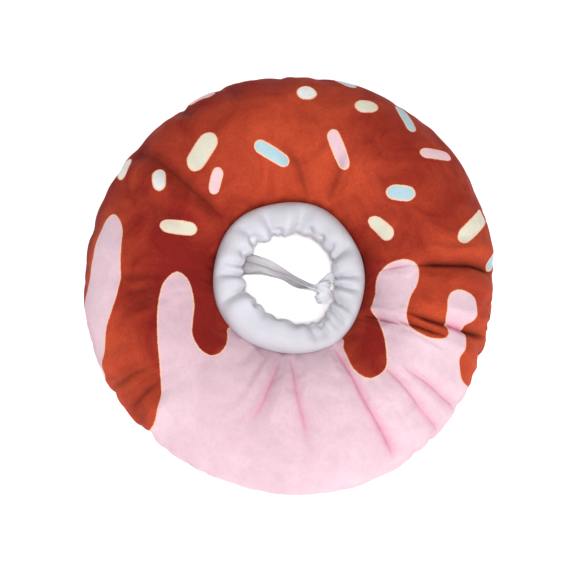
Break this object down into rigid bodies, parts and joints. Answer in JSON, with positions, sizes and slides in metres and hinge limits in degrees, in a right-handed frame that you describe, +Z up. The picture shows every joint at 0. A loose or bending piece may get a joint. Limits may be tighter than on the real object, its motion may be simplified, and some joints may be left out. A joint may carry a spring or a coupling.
{
  "type": "inflatable recovery collar",
  "caption": "Soft inflatable ring collar for a cat or small dog, with a glazed bun print, a gathered white neck sleeve and a knotted drawstring tape.",
  "frame": {"origin": "on the floor under the middle of the collar, which lies on its plain back", "axes": "+Z up, out of the printed front; +X to the right and +Y away, as seen from the picture's camera"},
  "size_m": [0.2992, 0.3096, 0.0799],
  "materials": {
    "printed_plush": "short pile, brown and pink print",
    "plain_plush": "short pile, pink",
    "white_cloth": "smooth knit, white",
    "cotton_tape": "woven tape, white",
    "soft_plastic": "soft, off-white"
  },
  "bodies": {
    "root": {"cover_front": "printed_plush", "cover_back": "plain_plush", "neck_sleeve": "white_cloth", "drawstring_knot": "cotton_tape", "drawstring_tail_upper": "cotton_tape", "drawstring_tail_lower": "cotton_tape", "inflation_valve": "soft_plastic"}
  },
  "joints": []
}
